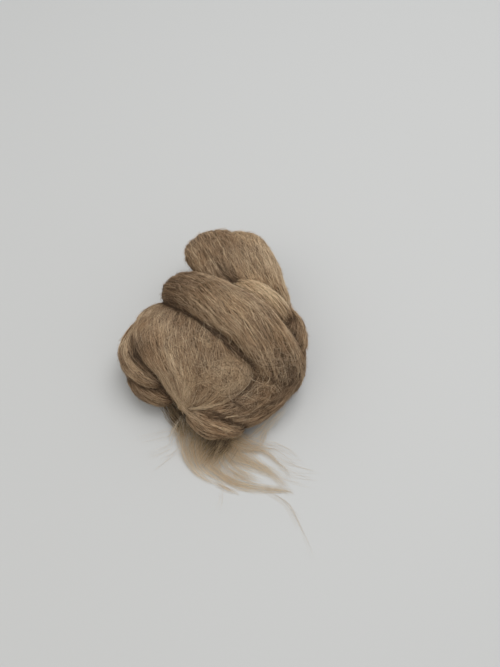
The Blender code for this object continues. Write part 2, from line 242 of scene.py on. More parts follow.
def onBundle(bundle, share, angle, lift):
    # points at a share along a bundle and an angle round it, and the way that is outwards there
    table = bundle["columns"]
    at = np.clip(share, 0, 1) * (len(table) - 1)
    low = np.minimum(at.astype(int), len(table) - 2)
    part = (at - low)[..., None]
    here = table[low] * (1 - part) + table[low + 1] * part
    centre, across, through = here[..., 0:3], here[..., 3:6], here[..., 6:9]
    halfWide, halfDeep, full = here[..., 12], here[..., 13], here[..., 14]
    power = 2 / skin["sectionPower"]
    side = np.sign(np.cos(angle)) * np.abs(np.cos(angle)) ** power * halfWide
    top = np.sign(np.sin(angle)) * np.abs(np.sin(angle)) ** power * halfDeep
    out = across * side[..., None] + through * top[..., None]
    reach = np.linalg.norm(out, axis=-1)
    combed = angle - 2 * math.pi * bundle["twist"] * share
    furrow = sum(high * np.cos(count * combed + phase + drift * share)
                 for count, high, phase, drift in bundle["waves"])
    outwards = out / np.maximum(reach, 1e-6)[..., None]
    place = centre + outwards * (reach * full + furrow * full**3 + lift)[..., None]
    # near a closed end, outwards turns to the way that the bundle runs
    end = here[..., 9:12] * np.where(share < 0.5, -1, 1)[..., None]
    outwards = unit(outwards * full[..., None] + end * (1 - full[..., None]))
    return place, outwards


frames = {name: bundleFrames(name, bundle) for name, bundle in bundles.items()}
shells = {}  # of each bundle: its search tree, lowest corner and highest corner, in metres


def clearOfOthers(points, own=None):
    # how far points in mm are outside each bundle but their own; below 0 they are inside it
    flat = points.reshape(-1, 3) * mm
    clear = np.full((len(shells), len(flat)), 2 * creases["reach"])
    margin = creases["reach"] * mm
    for row, (name, (tree, low, high)) in enumerate(shells.items()):
        if name == own:
            continue
        for i in np.flatnonzero(((flat > low - margin) & (flat < high + margin)).all(1)):
            point = Vector(flat[i])
            place, normal, index, distance = tree.find_nearest(point)
            clear[row, i] = math.copysign(distance / mm, (point - place).dot(normal))
    return clear.reshape(-1, *points.shape[:-1])


# painted shade in the creases, from how far the wool is outside the other bundles
def paintedCreaseShade(clear, own=None):
    # with no own bundle named, that is the nearest one
    levels = np.array([bundle["level"] for bundle in bundles.values()])
    if own:
        level = bundles[own]["level"]
    else:
        nearest = clear.argmin(0)[None]
        level = levels[nearest]
        clear = clear.copy()
        np.put_along_axis(clear, nearest, 2 * creases["reach"], 0)
    levels = levels.reshape(-1, *[1] * (clear.ndim - 1))
    weight = np.where(levels > level, 1, np.where(levels == level, creases["beside"], creases["below"]))
    weight[[{own, name} in matted for name in bundles]] *= creases["matted"]
    near, touching = (1 - np.clip(clear / creases[reach], 0, 1) for reach in ("reach", "lineReach"))
    return -(weight * (creases["soft"] * near**2 + creases["line"] * touching)).max(0)


def toneAndShadePatches(places):
    # slow changes of tone over the whole nest, 6 to 20 mm across, and the patches, which are partly the
    # wool's own tone and partly painted shade in hollows and on sides away from the light
    x, y, z = places[..., 0], places[..., 1], places[..., 2]
    tone = 0.03 * (
        np.sin(0.33 * x + 0.21 * y + 1.0) + np.sin(0.47 * y - 0.30 * z + 0.17 * x)
        + np.sin(0.71 * x - 0.52 * y + 0.4 * z + 2.0) + np.sin(0.95 * y + 0.8 * x + 4.0))
    for *centre, radius, change in patches.values():
        away = np.linalg.norm(places + middle - centre, axis=-1)
        tone = tone + change * np.exp(-((away / radius) ** 2))
    return tone


def toneAlong(name, share):
    tones = bundles[name]["tones"]
    return np.interp(share, np.linspace(0, 1, len(tones)), tones)


def topOf(places, above=0.1):
    # the height of the nest's upper side over places on the table, in mm, found from above in metres
    found = []
    for x, y in places.reshape(-1, 2) * mm:
        start, down = Vector((x, y, above)), Vector((0, 0, -1))
        hits = (tree.ray_cast(start, down)[0] for tree, low, high in shells.values())
        found.append(max([0.0] + [hit.z for hit in hits if hit]))
    return np.array(found).reshape(places.shape[:-1]) / mm


def drapedHeight(places):
    # the top of the wool below each point of a strand, without sudden drops
    top = topOf(places)
    for step in range(3):
        beside = np.concatenate([top[:, :1], (top[:, :-2] + top[:, 2:]) / 2, top[:, -1:]], 1)
        top = np.maximum(top, beside)
    return top


wool = {"Roughness": 0.75, "Specular IOR Level": 0.25, "Sheen Weight": 0.15, "Sheen Roughness": 0.5,
        "Sheen Tint": linear("#D8C4A8")}
hues = dict(scale=70, edge=(0.35, 0.65), hue=(0.501, 0.499), depth=(0.97, 1.05))  # patches of about 14 mm


def woolMaterial(name, dark, mid, light, streaks=()):
    # combed merino: matt, with a faint sheen where fibres catch the light at their edges, and streaks of
    # tone along the fibre. Real fibres are 0.025 mm thick and don't show, so these are 0.3 to 3 mm wide.
    material = bpy.data.materials.new(name)
    material.use_nodes = True
    tree = material.node_tree
    shader = tree.nodes["Principled BSDF"]
    value = addNode(tree, "ShaderNodeAttribute", attribute_name="tone").outputs["Fac"]
    for scale, weight in streaks:
        lay = addNode(tree, "ShaderNodeAttribute", attribute_name="lay").outputs["Vector"]
        noise = addNode(tree, "ShaderNodeTexNoise", noise_dimensions="3D", links=[
            ("Vector", lay), ("Scale", scale), ("Detail", 2.0), ("Roughness", 0.55)])
        value = addNode(tree, "ShaderNodeMath", operation="MULTIPLY_ADD", links=[
            (0, noise.outputs["Fac"]), (1, weight), (2, value)]).outputs[0]
        value = addNode(tree, "ShaderNodeMath", links=[(0, value), (1, -weight / 2)]).outputs[0]
    ramp = addNode(tree, "ShaderNodeValToRGB", links=[("Fac", value)])
    stops = ramp.color_ramp.elements
    stops[0].color, stops[1].color, stops.new(0.5).color = linear(dark), linear(light), linear(mid)
    place = addNode(tree, "ShaderNodeTexCoord").outputs["Object"]
    patch = addNode(tree, "ShaderNodeTexNoise", links=[
        ("Vector", place), ("Scale", hues["scale"]), ("Detail", 1)])
    low, high = hues["edge"]
    hue, depth = (
        addNode(tree, "ShaderNodeMapRange", links=[
            ("Value", patch.outputs["Fac"]), ("From Min", low), ("From Max", high),
            ("To Min", start), ("To Max", end)]).outputs["Result"]
        for start, end in (hues["hue"], hues["depth"]))
    colour = addNode(tree, "ShaderNodeHueSaturation", links=[
        ("Color", ramp.outputs["Color"]), ("Hue", hue), ("Saturation", depth)])
    tree.links.new(colour.outputs["Color"], shader.inputs["Base Color"])
    for socket, value in wool.items():
        shader.inputs[socket].default_value = value
    return material


combedBase = woolMaterial(
    "combed merino top, lower fibres", "#423328", "#6B5843", "#8C775D", streaks=((2.2, 0.9), (0.5, 0.5)))
combedFibre = woolMaterial("combed merino top, upper fibres", "#493728", "#AB8D6E", "#E9D1AE")
draftedFibre = woolMaterial("drafted merino, thin wisps", "#3B2B1C", "#D2B791", "#F8EBD5")


fibres = dict(nest=combedFibre, loose_end=draftedFibre)


def finishPiece(piece, node, material):
    piece.data.materials.clear()
    piece.data.materials.append(material)
    piece.data.shade_smooth()
    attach(piece, "root")
    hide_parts(node)
    return piece


def addAttribute(mesh, name, values, kind="FLOAT", field="value"):
    data = mesh.attributes.new(name, kind, "POINT").data
    data.foreach_set(field, values.astype(np.float32).ravel())


def makeBundle(name, bundle):
    rings = max(skin["fewestRings"], int(bundle["length"] / skin["alongGap"]))
    bpy.ops.object.select_all(action="DESELECT")
    bpy.ops.mesh.primitive_uv_sphere_add(segments=skin["around"], ring_count=rings, radius=1)
    piece = bpy.context.object
    piece.name = piece.data.name = f"bundle_{name}"
    mesh = piece.data
    x, y, z = readMesh(mesh.vertices, "co").T
    share = 1 - np.arccos(np.clip(z, -1, 1)) / math.pi
    angle = np.arctan2(y, x)
    place, outwards = onBundle(bundle, share, angle, np.zeros(len(share)))
    level = tableTop + skin["floorStep"] * list(bundles).index(name)
    place[:, 2] = np.maximum(place[:, 2], level)
    mesh.vertices.foreach_set("co", (place * mm).ravel())
    combed = angle - 2 * math.pi * bundle["twist"] * share
    radius = bundle["girth"] / (2 * math.pi)
    run = share * bundle["length"] * skin["layAlong"]
    lay = np.column_stack([run, radius * np.cos(combed), radius * np.sin(combed)])
    addAttribute(mesh, "lay", lay, "FLOAT_VECTOR", "vector")
    mesh.uv_layers[0].name = "OFBake"
    bpy.ops.object.mode_set(mode="EDIT")
    bpy.ops.mesh.select_all(action="SELECT")
    bpy.ops.mesh.normals_make_consistent(inside=False)
    # a sphere's faces come in another order each run, and the painted crease shade would change a little with
    # it
    bpy.ops.mesh.sort_elements(type="CURSOR_DISTANCE", elements={"FACE"})
    bpy.ops.object.mode_set(mode="OBJECT")
    tree = BVHTree.FromObject(piece, bpy.context.evaluated_depsgraph_get())
    shells[name] = tree, place.min(0) * mm, place.max(0) * mm
    return finishPiece(piece, "nest", combedBase)


def shadeBundle(piece, name):
    # its tone, with painted shade in the creases
    place = readMesh(piece.data.vertices, "co") / mm
    run = readMesh(piece.data.attributes["lay"].data, "vector")[:, 0]
    share = run / (frames[name]["length"] * skin["layAlong"])
    crease = paintedCreaseShade(clearOfOthers(place, name), name)
    addAttribute(piece.data, "tone", 0.5 + toneAlong(name, share) + toneAndShadePatches(place) + crease)


def strandMesh(paths, width, flat, tone, outwards=np.array((0, 0, 1))):
    # closed three-sided spindles with a point at each end, along paths of (strand, point, xyz) in mm: their
    # corners, the corners of each face, the faces' sizes, the tones, and each strand's own small map
    count, points = paths.shape[:2]
    tone = np.clip(tone, 0.02, 0.98)  # from the dark to the light end of the fibres' colours
    along = unit(np.gradient(paths, axis=1))
    side = unit(np.cross(along, outwards))
    up = np.cross(side, along)
    t = np.linspace(0, 1, points)
    plump = (np.sqrt(np.sin(math.pi * t).clip(0, 1))[None, :] * width[:, None] / 2)[..., None]
    turns = 2 * math.pi * np.arange(3) / 3 + math.pi / 2
    rings = np.stack(
        [paths + (side * math.cos(turn) + up * math.sin(turn) * flat) * plump for turn in turns], 2)
    corners = np.concatenate([paths[:, :1], rings[:, 1:-1].reshape(count, -1, 3), paths[:, -1:]], 1)
    each = corners.shape[1]
    k, n = np.arange(3), (np.arange(3) + 1) % 3
    ring = 1 + 3 * np.arange(points - 2)[:, None]
    first = np.stack([np.zeros(3, int), 1 + n, 1 + k], 1).ravel()
    last = np.stack([np.full(3, each - 1), ring[-1] + k, ring[-1] + n], 1).ravel()
    sides = np.stack([ring[:-1] + k, ring[:-1] + n, ring[1:] + n, ring[1:] + k], -1).ravel()
    loops = np.concatenate([first, sides, last])
    sizes = np.concatenate([np.full(3, 3), np.full(len(sides) // 4, 4), np.full(3, 3)])
    u = np.concatenate([[0], np.repeat(t[1:-1], 3), [1]])[loops]
    v = np.concatenate([
        np.stack([k + 0.5, k + 1, k], 1).ravel(),
        np.tile(np.stack([k, k + 1, k + 1, k], 1).ravel(), points - 3),
        np.stack([k + 0.5, k, k + 1], 1).ravel()]) / 3
    return dict(
        corners=corners.reshape(-1, 3), loops=(loops[None] + each * np.arange(count)[:, None]).ravel(),
        sizes=np.tile(sizes, count),
        tones=np.concatenate([tone[:, :1], np.repeat(tone[:, 1:-1], 3, 1), tone[:, -1:]], 1).ravel(),
        maps=np.broadcast_to(np.stack([u, v], 1)[None], (count, len(u), 2)).reshape(-1, 2),
        strand=np.repeat(np.arange(count), len(u)), count=count)


cellEdge = 0.06  # of a strand's cell in its piece's map, left empty all round


def addStrands(name, made, node):
    # one piece from one or more strand meshes, with a cell of its map for each strand
    mesh = bpy.data.meshes.new(name)
    corners, sizes, tones, maps = (
        np.concatenate([part[what] for part in made]) for what in ("corners", "sizes", "tones", "maps"))
    starts = np.cumsum([0] + [len(part["corners"]) for part in made])
    loops = np.concatenate([part["loops"] + start for part, start in zip(made, starts)])
    counts = np.cumsum([0] + [part["count"] for part in made])
    cell = np.concatenate([part["strand"] + before for part, before in zip(made, counts)])
    mesh.vertices.add(len(corners))
    mesh.vertices.foreach_set("co", (corners * mm).astype(np.float32).ravel())
    mesh.loops.add(len(loops))
    mesh.loops.foreach_set("vertex_index", loops.astype(np.int32))
    mesh.polygons.add(len(sizes))
    faceStarts = np.concatenate([[0], np.cumsum(sizes)[:-1]])
    mesh.polygons.foreach_set("loop_start", faceStarts.astype(np.int32))
    grid = math.ceil(math.sqrt(counts[-1]))
    cells = (np.stack([cell % grid, cell // grid], 1) + cellEdge + (1 - 2 * cellEdge) * maps) / grid
    mesh.uv_layers.new(name="OFBake").data.foreach_set("uv", cells.astype(np.float32).ravel())
    addAttribute(mesh, "tone", tones)
    mesh.update(calc_edges=True)
    mesh.validate()
    piece = bpy.data.objects.new(name, mesh)
    bpy.context.scene.collection.objects.link(piece)
    return finishPiece(piece, node, fibres[node])


def evenAngles(bundle, count, chance):
    # angles round a bundle that lie evenly by its outline's length
    fine = np.linspace(0, 2 * math.pi, 361)
    speed = np.hypot(np.sin(fine) * bundle["aspect"], np.cos(fine))
    run = np.concatenate([[0], np.cumsum((speed[1:] + speed[:-1]) / 2)])
    return np.interp(chance.uniform(0, run[-1], count), run, fine)


def layStrands(name, bundle, layer, chance):
    # strands that follow the comb's way along a bundle, without those that don't show
    meanWidth, meanLength = sum(layer["width"]) / 2, sum(layer["length"]) / 2
    widest = bundle["girths"].max()
    cover = layer["cover"] * (1 if bundles[name]["level"] else lowestCover)
    count = int(widest * bundle["length"] * cover / (meanLength * meanWidth * 0.8))
    length = chance.uniform(*layer["length"], count)
    mid = chance.uniform(-0.02, 1.02, count)
    lane = evenAngles(bundle, count, chance)
    width = chance.uniform(*layer["width"], count)
    t = np.linspace(-0.5, 0.5, layer["points"])[None]
    share = mid[:, None] + t * (length / bundle["length"])[:, None]
    # fewer of them where the bundle is thin, and none past its ends
    girth = np.interp(mid, np.linspace(0, 1, skin["frames"]), bundle["girths"])
    keep = (share[:, 0] > -0.05) & (share[:, -1] < 1.05)
    keep &= chance.uniform(0, 1, count) < 0.12 + girth / widest
    share = np.clip(share, 0.004, 0.996)
    radius = bundle["girth"] / (2 * math.pi)
    slant = chance.normal(0, layer["slant"], count)[:, None] * t * length[:, None] / radius
    phase, beat = chance.uniform(*anyPhase, (count, 1)), chance.uniform(3, 8, (count, 1))
    sway = layer["wander"] / radius * np.sin(phase + beat * t) * chance.uniform(0.2, 1, (count, 1))
    angle = lane[:, None] + 2 * math.pi * bundle["twist"] * share + slant + sway
    rise = ((t + 0.5) ** 1.5 if layer.get("loose") else 1 - np.abs(2 * t) ** 4) * np.ones((count, 1))
    height = chance.uniform(0, 1, (count, 1))
    low, high = layer["lift"]
    lift = (low + (high - low) * height + layer["dip"]) * rise - layer["dip"]
    lock = streakNoise(
        (lane[:, None] + slant + sway) * radius / locks["wide"],
        share * bundle["length"] / locks["long"] + 37 * len(name))
    lift += locks["height"] * lock
    paths, outwards = onBundle(bundle, share, angle, lift)
    half = layer["points"] // 2
    keep &= (paths[:, half, 2] > shown["middle"]) & (paths[..., 2].min(1) > shown["lowest"])
    keep &= (outwards[:, half, 2] > shown["facing"]) | (paths[:, half, 2] > shown["high"])
    found = [values[keep] for values in (paths, outwards, width, lane, mid, rise, lock, height)]
    clear = clearOfOthers(found[0], name)
    keep = (clear.min(0)[:, [1, half, layer["points"] - 2]] > -buriedBy).sum(1) >= 2
    clear = clear[:, keep]
    paths, outwards, width, lane, mid, rise, lock, height = (values[keep] for values in found)
    paths[..., 2] = np.maximum(paths[..., 2], tableTop + 0.2)
    clump = 0.5 * np.sin(lane * 9 + 1.3 + 3 * mid) + 0.5 * np.sin(lane * 23 + 0.4 - 5 * mid)
    own = 0.5 + toneAlong(name, mid) + layer["tone"] + 0.05 * clump
    own += chance.normal(0, layer["vary"], len(lane))
    # painted shade: lower strands, ends that dip under and wool in the creases are darker; the patches are
    # partly painted shade too
    tone = own[:, None] + layer["depthShade"] * (height - 0.5) + locks["tone"] * lock + toneAndShadePatches(paths)
    tone += 0.08 * (rise - 0.8) + paintedCreaseShade(clear, name)
    return strandMesh(paths, width, layer["flat"], tone, outwards)


def combBundle(name, bundle, seed):
    chance = np.random.default_rng(seed)
    made = [layStrands(name, bundle, layer, chance) for layer in layers.values()]
    return addStrands(f"fibres_{name}", made, "nest")


pieces = [makeBundle(name, bundle) for name, bundle in frames.items()]
for piece, name in zip(pieces, frames):
    shadeBundle(piece, name)
pieces += [combBundle(name, bundle, 100 + i) for i, (name, bundle) in enumerate(frames.items())]
print("bundles and their fibre layers:", len(pieces), "pieces")


# Wisps: count strands in a band, with rows of x, y, height and half its width, in mm. With a span of (a, b)
# they start before a of the band and end after b. The tones are at its two ends. An even band is as thick at
# its sides as in its middle, an exact one has heights above the table and not above the wool, a lit one gets
# no painted crease shade, and step is the sharpest drop that a strand may cross.
# First the drafted end, which fans over the table: dark where it leaves the nest, as dense wool with painted
# shade under the front, pale where it thins out
usualWisp = dict(span=(0.5, 0.5), width=(0.05, 0.09))  # where an entry doesn't say
wisps = dict(
    webLeft=dict(count=320, even=True, span=(0.2, 0.3), width=(0.05, 0.1), tones=(0.42, 1), rows=[
        (-2.5, -41.9, 8, 9.3), (-3.4, -46.1, 6, 10.7), (-3.9, -49.6, 3.8, 10.2), (-3.3, -53.4, 2.4, 8.8),
        (-1.4, -57.3, 1.4, 6.9), (2.4, -61.3, 0.8, 4.6), (8, -64.4, 0.5, 2.7)]),
    webRight=dict(count=60, even=True, span=(0.25, 0.3), width=(0.05, 0.1), tones=(0.55, 1), rows=[
        (4.9, -42.5, 7, 5.6), (8.7, -46.4, 5.5, 6.5), (12.9, -49.5, 3.5, 5.6), (17.1, -52.4, 2, 4.2),
        (21.7, -55.4, 1.2, 2.8), (26.3, -59, 0.7, 1.8), (30.3, -62.6, 0.5, 1.4)]),
    webMiddle=dict(count=160, even=True, span=(0.3, 0.25), width=(0.04, 0.09), tones=(0.4, 1), rows=[
        (3, -44, 7, 4), (5.5, -47, 5.5, 5), (7.6, -50.5, 4, 5), (10.2, -54.5, 2.2, 5),
        (14.5, -57.8, 1.2, 4.4), (20, -60.4, 0.7, 3.4), (26, -63, 0.4, 2.4)]),
    rootRight=dict(count=48, even=True, span=(0.3, 0.3), tones=(0.6, 1), rows=[
        (6.8, -44.1, 6, 2.8), (12.4, -45.7, 5, 3.7), (17.5, -46.5, 3.2, 3.8), (22.7, -47.4, 1.6, 3.3),
        (27.9, -49.6, 0.9, 2.8), (33, -52.8, 0.5, 2.3)]),
    main=dict(count=104, tones=(0.66, 0.86), rows=[
        (-5.7, -48.4, 4.5, 3.3), (-3.8, -52.2, 3, 4.2), (-0.9, -56.1, 2, 3.9), (2.8, -59.6, 1.3, 3.2),
        (7.5, -62.7, 0.9, 2.5), (12.5, -64.9, 0.7, 2), (18, -66.3, 0.6, 1.6), (23.9, -67.1, 0.5, 1.3),
        (29.8, -67.6, 0.4, 1), (35.2, -68, 0.3, 0.6)]),
    upper=dict(count=76, span=(0.5, 0.45), tones=(0.68, 0.9), rows=[
        (5, -47.6, 5, 4.2), (7.3, -51, 3.6, 4.6), (11.5, -53.4, 2.4, 3.9), (16.6, -54.6, 1.5, 3.2),
        (21.7, -56.3, 1, 2.5), (26.3, -59, 0.7, 2.1), (30.4, -62.2, 0.5, 1.6), (33.9, -65.8, 0.4, 1.2),
        (36.9, -69.3, 0.3, 0.7)]),
    arc=dict(count=30, span=(0.35, 0.5), tones=(0.6, 0.8), rows=[
        (5.5, -44.5, 5, 4), (9.6, -47.3, 4, 3.4), (14.7, -49.1, 2.2, 2.4), (20.3, -49.3, 1.4, 1.7),
        (24.1, -49.4, 1, 1.3), (27.4, -52, 0.8, 1.1), (31, -55.7, 0.6, 1), (35, -59.4, 0.5, 0.9),
        (36.6, -65.3, 0.4, 0.8)]),
    farArc=dict(count=14, span=(0.3, 0.5), width=(0.05, 0.07), tones=(0.5, 0.66), rows=[
        (11, -43.5, 5, 3), (15.7, -45.8, 4, 2.8), (23.2, -47.1, 2, 2.2), (29.8, -47.2, 1, 1.9),
        (35.4, -50, 0.7, 1.9), (39, -52.8, 0.5, 1.8), (42.1, -56.6, 0.4, 1.8)]),
    left=dict(count=56, span=(0.4, 0.35), tones=(0.6, 1), rows=[
        (-14.1, -38.6, 7, 2.4), (-14.9, -42.8, 5, 3.3), (-13.9, -47.4, 3, 3.8), (-11.4, -52.2, 1.6, 3.7),
        (-7.9, -57.2, 0.9, 3.2), (-3.5, -61.7, 0.5, 2.3)]),
    tip=dict(count=24, span=(0.4, 0.6), width=(0.05, 0.08), tones=(0.72, 0.78), rows=[
        (21, -66.6, 0.7, 1.3), (27, -67.4, 0.6, 1.1), (32, -67.8, 0.5, 0.9), (36, -68.2, 0.4, 0.8),
        (38.6, -70, 0.3, 0.8)]),
    short=dict(count=26, span=(0.4, 0.5), width=(0.05, 0.08), tones=(0.65, 0.8), rows=[
        (0.7, -63.2, 0.9, 1.8), (5.3, -65.8, 0.7, 1.5), (9.9, -68, 0.5, 1.1), (14, -69.8, 0.4, 0.5)]),
    gap=dict(count=40, span=(0.4, 0.5), width=(0.05, 0.07), tones=(0.6, 0.8), rows=[
        (6, -56.8, 1.2, 2.3), (11.6, -60.4, 0.8, 2.8), (17.1, -62.6, 0.5, 2.7), (22.6, -64.9, 0.4, 1.8)]),
    long=dict(count=8, span=(0.35, 0.55), width=(0.04, 0.06), tones=(0.55, 0.65), rows=[
        (17, -65.6, 0.6, 1.3), (23.4, -67.1, 0.5, 1.3), (27, -68.9, 0.4, 1.3), (31.5, -71.1, 0.4, 1.2),
        (34.9, -73.7, 0.3, 1.1), (37.6, -78, 0.3, 0.9), (40.2, -84, 0.3, 0.8), (42.6, -90, 0.3, 0.5),
        (45.2, -97.5, 0.3, 0.2)]),
    riseRight=dict(count=18, span=(0.4, 0.5), width=(0.05, 0.08), tones=(0.62, 0.8), rows=[
        (13, -46.5, 3, 2.2), (18.9, -48, 2, 1.8), (22.7, -46.6, 2, 1.7), (24.4, -41.5, 3, 1.7),
        (26.8, -37.8, 5, 1.8), (29.5, -34, 8, 2)]),
    loopRight=dict(count=12, span=(0.35, 0.5), width=(0.05, 0.08), tones=(0.55, 0.75), rows=[
        (12, -43, 5, 1.8), (16.1, -42.5, 4.5, 1.6), (20, -40.4, 5, 1.4), (23.6, -39.2, 5, 1.2),
        (25.4, -41.2, 4, 1.2), (24.6, -44.6, 2, 1.2), (21.8, -47.2, 1, 1.3)]),
    edgeRight=dict(count=88, even=True, span=(0.6, 0.25), tones=(0.7, 0.9), rows=[
        (15.2, -46.3, 2.5, 1.8), (19.9, -43.4, 4, 2.2), (24.6, -39.7, 6, 2.6), (29.4, -34.4, 8, 2.6),
        (34.2, -29.2, 10, 2.6), (38.6, -24.3, 12, 2.4)]),
    fanRight=dict(count=10, span=(0.4, 0.6), width=(0.04, 0.06), tones=(0.6, 0.75), rows=[
        (20, -49.6, 1.4, 1.4), (27.4, -51.5, 0.8, 2.4), (34.3, -55.2, 0.5, 3.4), (41.1, -57.5, 0.4, 4.2),
        (49.3, -60.3, 0.3, 5)]),
    fanLow=dict(count=7, span=(0.4, 0.6), width=(0.04, 0.06), tones=(0.6, 0.75), rows=[
        (22, -56, 0.8, 1.2), (28.2, -58.5, 0.6, 2), (36.3, -62.1, 0.4, 3), (43.1, -63.5, 0.3, 3.8),
        (52.4, -64.1, 0.3, 4.4)]),
    longLeft=dict(count=3, span=(0.3, 0.6), width=(0.04, 0.05), tones=(0.6, 0.7), rows=[
        (10.5, -64, 0.6, 0.6), (8, -65.2, 0.5, 0.7), (5.6, -68.4, 0.4, 0.7), (4.8, -74.1, 0.4, 0.9),
        (3.1, -80.5, 0.3, 1.2)]),
    strayLeft=dict(count=9, width=(0.04, 0.06), tones=(0.55, 0.7), rows=[
        (-12, -37, 5, 2), (-19.3, -41, 2, 4), (-24.9, -43.6, 1, 5), (-31.4, -45.5, 0.6, 6),
        (-38, -46.9, 0.3, 6)]),
    strayLow=dict(count=8, width=(0.04, 0.06), tones=(0.55, 0.7), rows=[
        (-12, -45, 3, 2), (-19, -50, 1, 4), (-24.6, -53.5, 0.5, 5), (-29.7, -56.3, 0.4, 6)]),
)
# under the nest's front: dense wool, dark with painted shade where the front overhangs it
usualRoot = dict(span=(0.3, 0.2), width=(0.09, 0.15))
roots = dict(
    shadeLeft=dict(count=200, span=(0.2, 0.15), width=(0.07, 0.12), tones=(-0.02, 0.85), rows=[
        (6, -41.5, 9.5, 6), (4, -45, 9, 7.4), (1.6, -48.5, 7, 8), (-1, -52, 4.6, 8), (-3.4, -55.5, 2.6, 7),
        (-4.5, -58.5, 1.4, 6)]),
    shadeCore=dict(count=240, even=True, tones=(-0.8, 0.3), rows=[
        (5.6, -41.2, 10.4, 6), (3.6, -43.4, 9.8, 7.2), (1.4, -45.4, 8.6, 7.6), (-0.8, -47.2, 7, 7.2),
        (-2.6, -48.6, 5.6, 6.4)]),
    shadeOut=dict(count=76, even=True, width=(0.07, 0.13), tones=(0, 0.8), rows=[
        (4, -42, 9.5, 3.4), (8.5, -43.6, 8.4, 3.8), (13, -44.8, 6.6, 4), (17.5, -45.8, 4.6, 3.6),
        (21.5, -46.8, 3, 3)]),
    bedLeft=dict(count=210, even=True, span=(0.15, 0.35), width=(0.1, 0.17), tones=(0.22, 0.85), rows=[
        (0, -41, 5, 9.5), (-0.8, -45.5, 3.6, 9.8), (-1.2, -49.5, 2.2, 9.2), (-1, -53.5, 1.2, 7.8),
        (0.4, -57, 0.6, 6)]),
    bedRight=dict(count=64, even=True, span=(0.15, 0.3), tones=(0.3, 0.9), rows=[
        (6, -41, 6, 5), (9.5, -44.5, 4.6, 6), (14, -47, 3, 6), (19, -49.5, 1.6, 5), (24, -52.5, 0.8, 3.6)]),
    brushLeft=dict(count=90, even=True, span=(0.4, 0.3), width=(0.06, 0.11), tones=(0.1, 0.75), rows=[
        (-12, -36, 8.6, 2.6), (-14.5, -38.5, 6.4, 3.6), (-16.8, -41.5, 4.2, 4.2), (-18.6, -45, 2, 4.2)]),
    shadeFringe=dict(count=170, width=(0.08, 0.14), tones=(-0.1, 0.7), rows=[
        (2, -46, 8, 5), (-1.2, -49.5, 6, 6), (-4.2, -53, 4, 6), (-6.6, -56.5, 2.4, 5)]),
    shadeRight=dict(count=110, width=(0.08, 0.15), tones=(-0.05, 0.85), rows=[
        (6.5, -42.5, 8, 3.7), (8.6, -45.8, 6.5, 4.2), (11, -48.7, 5, 3.7), (14, -51.1, 3, 2.8)]),
    shadeKnot=dict(count=190, even=True, width=(0.08, 0.15), tones=(-0.2, 0.7), rows=[
        (-14.5, -28.5, 9, 2.4), (-13.4, -33.6, 9.4, 3.2), (-12, -37.4, 8.2, 4.4), (-10, -41.5, 6.4, 5.4),
        (-9.4, -45, 4.6, 5.8), (-9, -48.6, 3, 5.4)]),
    shadeEdge=dict(count=90, even=True, span=(0.35, 0.4), tones=(-0.1, 0.3), rows=[
        (-14.4, -29.5, 8, 1), (-13.2, -33.8, 8.6, 1.3), (-11.6, -37.2, 8.2, 1.6), (-9.2, -40.2, 7.2, 1.8),
        (-6.4, -42.8, 5.8, 2)]),
    # dark brown tufts in the recess left of the knot, darker still as painted shade
    tufts=dict(count=310, span=(0.7, 0.25), width=(0.12, 0.2), tones=(0.2, 0.12), rows=[
        (-24, -21, 7, 2.4), (-22.2, -25.5, 7, 3.2), (-19.8, -29.6, 6.5, 3.5), (-17, -33.6, 5.5, 3.4),
        (-13.6, -37.6, 4, 3), (-10, -41.5, 3, 3.4)]),
    tuftRim=dict(count=60, span=(0.6, 0.3), width=(0.07, 0.12), tones=(0.5, 0.7), rows=[
        (-22, -28, 4, 1.2), (-19.8, -32, 4, 1.4), (-17.6, -36, 4, 1.6), (-15.6, -40, 3.4, 1.8),
        (-13.8, -44.5, 2.2, 2.4), (-11, -49.5, 1.4, 2.4)]),
    fringe=dict(count=56, even=True, span=(0.15, 0.4), width=(0.07, 0.11), tones=(0.95, 0.7), rows=[
        (-12.6, -34.3, 11, 0.5), (-13, -36.5, 9.5, 2.6), (-13.4, -39.5, 7, 5), (-13.6, -43, 4, 7),
        (-13.4, -47.3, 1.8, 8)]),
)
